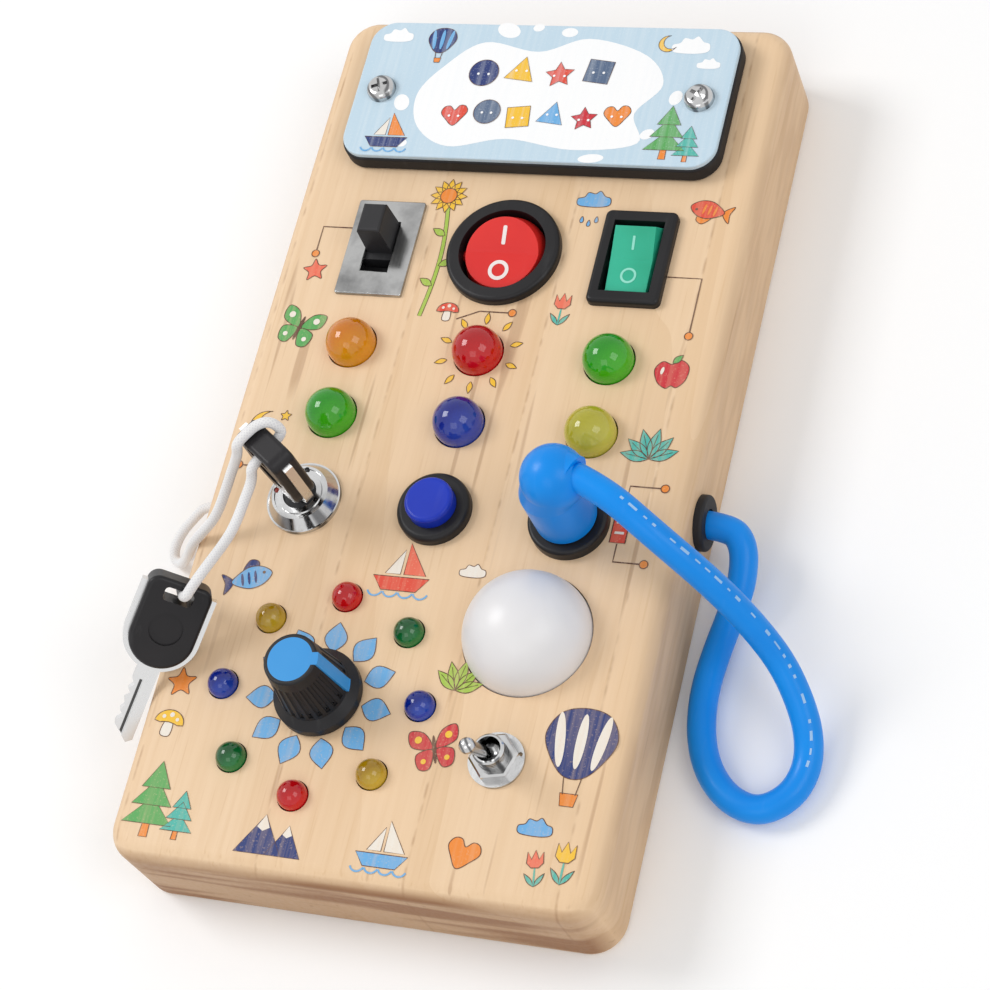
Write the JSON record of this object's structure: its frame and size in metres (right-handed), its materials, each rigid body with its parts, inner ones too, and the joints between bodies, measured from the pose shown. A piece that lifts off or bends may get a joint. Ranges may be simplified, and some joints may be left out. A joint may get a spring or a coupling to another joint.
{
  "type": "wooden busy board",
  "caption": "Wooden toddler busy board with rocker, slide and toggle switches, key lock, push button, plug, knob and domed lamps.",
  "frame": {"origin": "centre of the case's back face", "axes": "+Z out of the front, +Y towards the name plate, +X to the right"},
  "size_m": [0.139, 0.185, 0.0458],
  "materials": {
    "pine": "satin",
    "plywood": "matte",
    "black_plastic": "satin",
    "box_plastic": "matte",
    "steel": "satin",
    "chrome": "polished",
    "brass": "satin",
    "cell_wrap": "glossy",
    "circuit": "semi-gloss",
    "nylon": "matte",
    "wire": "satin",
    "sign_blue": "semi-gloss",
    "dark_grey_plastic": "satin",
    "rocker_red": "glossy",
    "rocker_green": "glossy",
    "lens_orange": "glossy",
    "lens_red": "glossy",
    "lens_green": "glossy",
    "lens_blue": "glossy",
    "lens_yellow": "glossy",
    "lens_white": "satin",
    "blue_plastic": "glossy",
    "button_blue": "glossy",
    "cable_jacket": "satin",
    "cord_white": "matte"
  },
  "bodies": {
    "board": {"wooden_case": "pine", "back_cover": "plywood", "back_cover_screws": "steel", "battery_box": "box_plastic", "battery_contacts": "steel", "batteries": "cell_wrap", "battery_door": "box_plastic", "battery_door_screw": "steel", "control_board": "circuit", "board_standoffs": "nylon", "board_screws": "steel", "wiring": "wire", "sign_base": "black_plastic", "sign_panel": "sign_blue", "sign_screws": "steel", "slide_switch_plate": "chrome", "slide_switch_body": "dark_grey_plastic", "round_rocker_housing": "black_plastic", "square_rocker_housing": "black_plastic", "switch_terminals": "brass", "big_lamp_orange": "lens_orange", "big_lamp_red": "lens_red", "big_lamps_green": "lens_green", "big_lamp_blue": "lens_blue", "big_lamp_yellow": "lens_yellow", "small_lamps_red": "lens_red", "small_lamps_green": "lens_green", "small_lamps_blue": "lens_blue", "small_lamps_gold": "lens_orange", "lamp_leads": "steel", "dome_lens": "lens_white", "dome_lamp": "circuit", "key_lock_housing": "chrome", "panel_nuts": "steel", "key_2_blade": "steel", "key_2_grip": "black_plastic", "key_cord": "cord_white", "push_button_housing": "black_plastic", "push_button_spring": "steel", "socket_housing": "black_plastic", "blue_cable": "cable_jacket", "cable_grommet": "black_plastic", "toggle_housing": "chrome", "toggle_washer": "steel", "toggle_nut": "steel", "potentiometer_body": "steel", "potentiometer_nut": "steel"},
    "slide_knob": {"slide_switch_knob": "dark_grey_plastic"},
    "round_rocker": {"round_rocker_cap": "rocker_red"},
    "square_rocker": {"square_rocker_cap": "rocker_green"},
    "key": {"key_lock_rotor": "dark_grey_plastic", "key_1_blade": "steel", "key_1_grip": "black_plastic"},
    "button": {"push_button_cap": "button_blue"},
    "plug": {"plug_body": "blue_plastic", "plug_pin": "steel"},
    "toggle": {"toggle_lever": "chrome"},
    "knob": {"knob_body": "black_plastic", "knob_cap": "blue_plastic", "knob_shaft": "steel"}
  },
  "joints": [
    {"name": "slide_switch_travel", "type": "slide", "parent": "board", "child": "slide_knob", "axis": [0, -1, 0], "range_m": [0, 0.0045]},
    {"name": "round_rocker_tilt", "type": "hinge", "parent": "board", "child": "round_rocker", "pos_m": [0, 0.0374, 0.0188], "axis": [1, 0, 0], "range_deg": [-23, 0]},
    {"name": "square_rocker_tilt", "type": "hinge", "parent": "board", "child": "square_rocker", "pos_m": [0.0264, 0.0374, 0.0188], "axis": [1, 0, 0], "range_deg": [-23, 0]},
    {"name": "key_turn", "type": "hinge", "parent": "board", "child": "key", "pos_m": [-0.02696, -0.0186, 0.0206], "axis": [0, 0, 1], "range_deg": [-57, 33], "deforming": ["key_cord"]},
    {"name": "button_press", "type": "slide", "parent": "board", "child": "button", "axis": [0, 0, -1], "range_m": [0, 0.0022], "stiffness_N_per_m": 400, "springref_m": -0.001, "deforming": ["push_button_spring"]},
    {"name": "plug_pull", "type": "slide", "parent": "board", "child": "plug", "axis": [0, 0, 1], "range_m": [0, 0.012], "deforming": ["blue_cable"]},
    {"name": "toggle_flip", "type": "hinge", "parent": "board", "child": "toggle", "pos_m": [0.0237, -0.0659, 0.0234], "axis": [1, 0, 0], "range_deg": [-30, 0]},
    {"name": "knob_turn", "type": "hinge", "parent": "board", "child": "knob", "pos_m": [-0.01287, -0.0574, 0.0206], "axis": [0, 0, 1], "range_deg": [-150, 150]}
  ]
}
